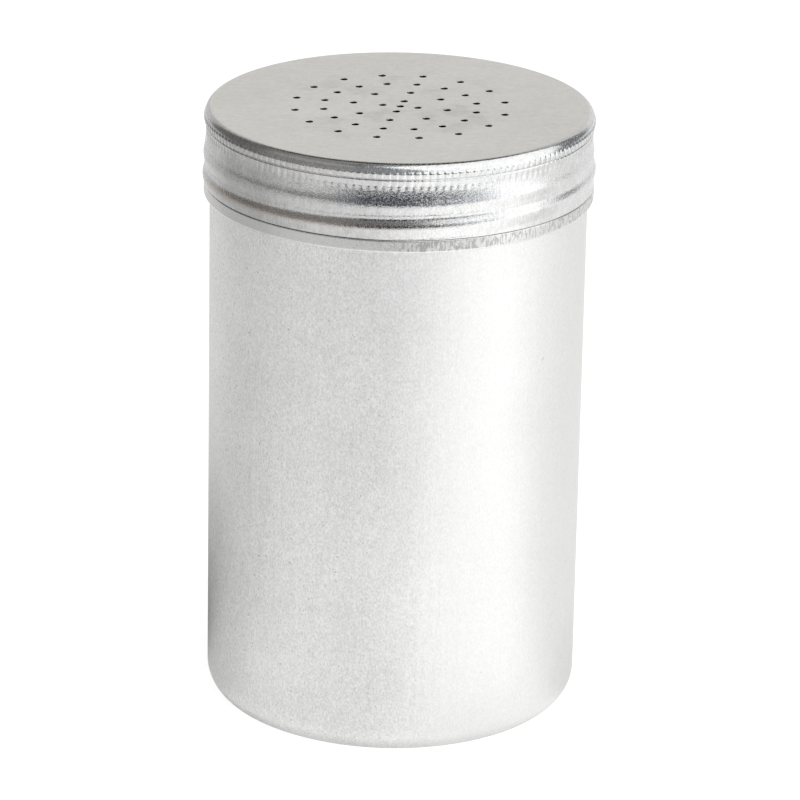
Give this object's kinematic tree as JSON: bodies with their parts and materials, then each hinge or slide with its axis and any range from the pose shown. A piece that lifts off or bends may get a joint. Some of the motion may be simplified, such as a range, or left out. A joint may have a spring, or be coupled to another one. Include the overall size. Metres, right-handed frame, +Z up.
{
  "type": "spice shaker tin",
  "caption": "Cylindrical aluminium spice shaker: a drawn can with a screw neck, and a screw lid with a milled grip band and a perforated top that the contents are sprinkled through.",
  "frame": {"origin": "centre of the base, on the plane that the can stands on", "axes": "+Z up the can's axis from base to lid; -Y is the front and +X the right-hand side"},
  "size_m": [0.079, 0.079, 0.1255],
  "materials": {
    "can_aluminium": "matt, as drawn, with a faint upright grain and small scuffs; burnished on the rolled bead",
    "lid_aluminium": "satin top, bright rolled side"
  },
  "bodies": {
    "can": {"can_body": "can_aluminium"},
    "lid": {"shaker_lid": "lid_aluminium"}
  },
  "joints": [
    {"name": "lid_lift", "type": "slide", "parent": "can", "child": "lid", "axis": [0, 0, 1], "range_m": [0, 0.06]}
  ]
}
